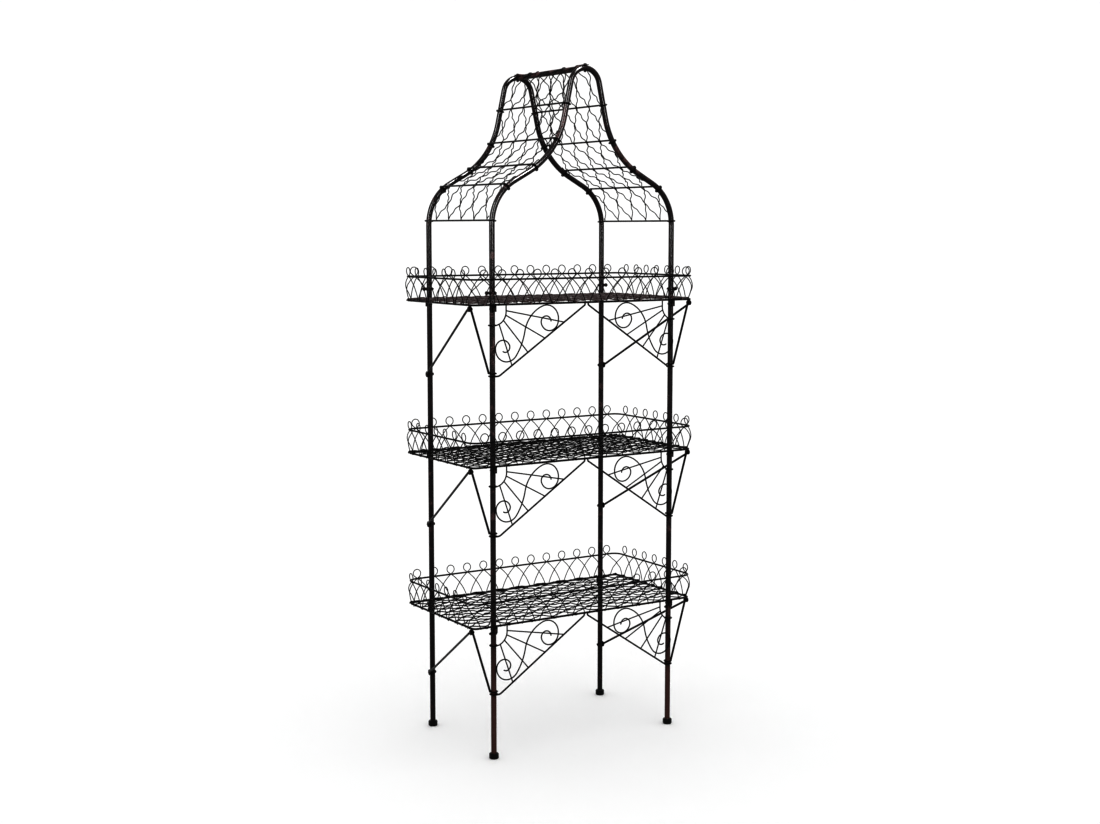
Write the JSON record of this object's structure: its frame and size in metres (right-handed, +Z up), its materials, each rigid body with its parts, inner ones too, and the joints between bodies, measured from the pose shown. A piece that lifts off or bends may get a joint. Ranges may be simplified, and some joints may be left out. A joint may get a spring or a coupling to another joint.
{
  "type": "bakers rack",
  "caption": "Wrought-wire bakers rack: bell-arched tube frames, a netted roof and wire shelves with looped galleries and scrolled fan brackets.",
  "frame": {"origin": "on the floor, midway between the four feet", "axes": "+Z up, +X to the right along the shelves, +Y from front to rear; the fan brackets are on the front"},
  "size_m": [0.7996, 0.4236, 2.0169],
  "materials": {
    "enamelled_tube": "gloss",
    "enamelled_rod": "gloss",
    "enamelled_wire": "satin",
    "blackened_fastener": "satin",
    "plain_steel": "satin",
    "rubber_cap": "matt"
  },
  "bodies": {
    "root": {"front_arch": "enamelled_tube", "rear_arch": "enamelled_tube", "ridge_tube": "enamelled_tube", "joint_sleeves": "plain_steel", "foot_caps": "rubber_cap", "left_roof_rods": "enamelled_rod", "right_roof_rods": "enamelled_rod", "left_roof_net": "enamelled_wire", "right_roof_net": "enamelled_wire", "tube_bolts": "blackened_fastener", "shelf_bolts": "blackened_fastener", "strut_bolts": "blackened_fastener", "front_left_lower_leg": "enamelled_tube", "front_left_upper_leg": "enamelled_tube", "front_right_lower_leg": "enamelled_tube", "front_right_upper_leg": "enamelled_tube", "rear_left_lower_leg": "enamelled_tube", "rear_left_upper_leg": "enamelled_tube", "rear_right_lower_leg": "enamelled_tube", "rear_right_upper_leg": "enamelled_tube", "lower_shelf_frame": "enamelled_rod", "lower_shelf_net": "enamelled_wire", "lower_gallery_rail": "enamelled_rod", "lower_gallery_front": "enamelled_wire", "lower_gallery_rear": "enamelled_wire", "lower_gallery_left": "enamelled_wire", "lower_gallery_right": "enamelled_wire", "lower_left_short_strut": "enamelled_rod", "lower_left_long_strut": "enamelled_rod", "lower_left_fan_bracket": "enamelled_rod", "lower_right_short_strut": "enamelled_rod", "lower_right_long_strut": "enamelled_rod", "lower_right_fan_bracket": "enamelled_rod", "middle_shelf_frame": "enamelled_rod", "middle_shelf_net": "enamelled_wire", "middle_gallery_rail": "enamelled_rod", "middle_gallery_front": "enamelled_wire", "middle_gallery_rear": "enamelled_wire", "middle_gallery_left": "enamelled_wire", "middle_gallery_right": "enamelled_wire", "middle_left_short_strut": "enamelled_rod", "middle_left_long_strut": "enamelled_rod", "middle_left_fan_bracket": "enamelled_rod", "middle_right_short_strut": "enamelled_rod", "middle_right_long_strut": "enamelled_rod", "middle_right_fan_bracket": "enamelled_rod", "upper_shelf_frame": "enamelled_rod", "upper_shelf_net": "enamelled_wire", "upper_gallery_rail": "enamelled_rod", "upper_gallery_front": "enamelled_wire", "upper_gallery_rear": "enamelled_wire", "upper_gallery_left": "enamelled_wire", "upper_gallery_right": "enamelled_wire", "upper_left_short_strut": "enamelled_rod", "upper_left_long_strut": "enamelled_rod", "upper_left_fan_bracket": "enamelled_rod", "upper_right_short_strut": "enamelled_rod", "upper_right_long_strut": "enamelled_rod", "upper_right_fan_bracket": "enamelled_rod"}
  },
  "joints": []
}
